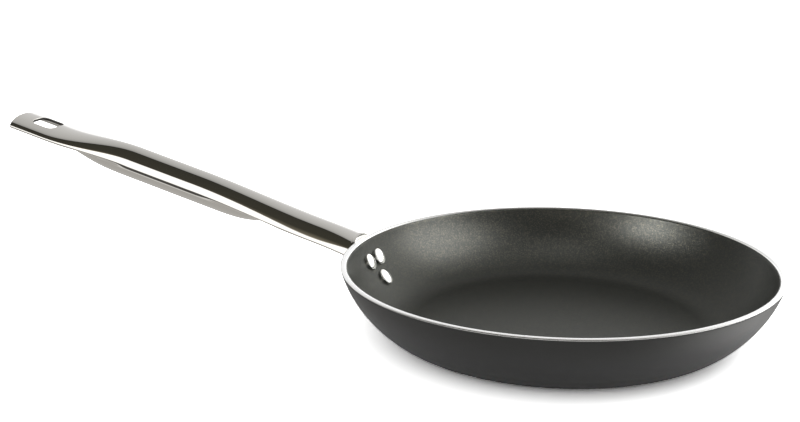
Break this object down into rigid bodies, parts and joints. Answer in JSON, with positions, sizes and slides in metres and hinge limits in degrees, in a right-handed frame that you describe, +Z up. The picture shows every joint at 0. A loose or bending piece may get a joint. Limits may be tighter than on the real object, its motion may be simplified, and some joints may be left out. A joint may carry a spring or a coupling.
{
  "type": "omelette pan",
  "caption": "Shallow round omelette pan with curved walls, a speckled non-stick inside, a bare flat rim and a riveted one-piece formed steel handle with a hanging slot.",
  "frame": {"origin": "middle of the flat underside that stands on the hob", "axes": "+Z up along the bowl's axis, the handle running out along -X and rising, +Y across; the pan is the same on both sides of the XZ plane"},
  "size_m": [0.4768, 0.2406, 0.0956],
  "materials": {
    "pan_metal": "bare turned aluminium on the flat rim and the underside",
    "non_stick": "satin dark grey non-stick coating with fine bright speckle",
    "outer_coating": "satin dark grey outer coating",
    "handle_steel": "bright polished stainless steel",
    "rivet_metal": "satin aluminium"
  },
  "bodies": {
    "root": {"pan_body": "pan_metal", "interior_coating": "non_stick", "exterior_coating": "outer_coating", "handle": "handle_steel", "rivet_near": "rivet_metal", "rivet_far": "rivet_metal", "rivet_lower": "rivet_metal"}
  },
  "joints": []
}
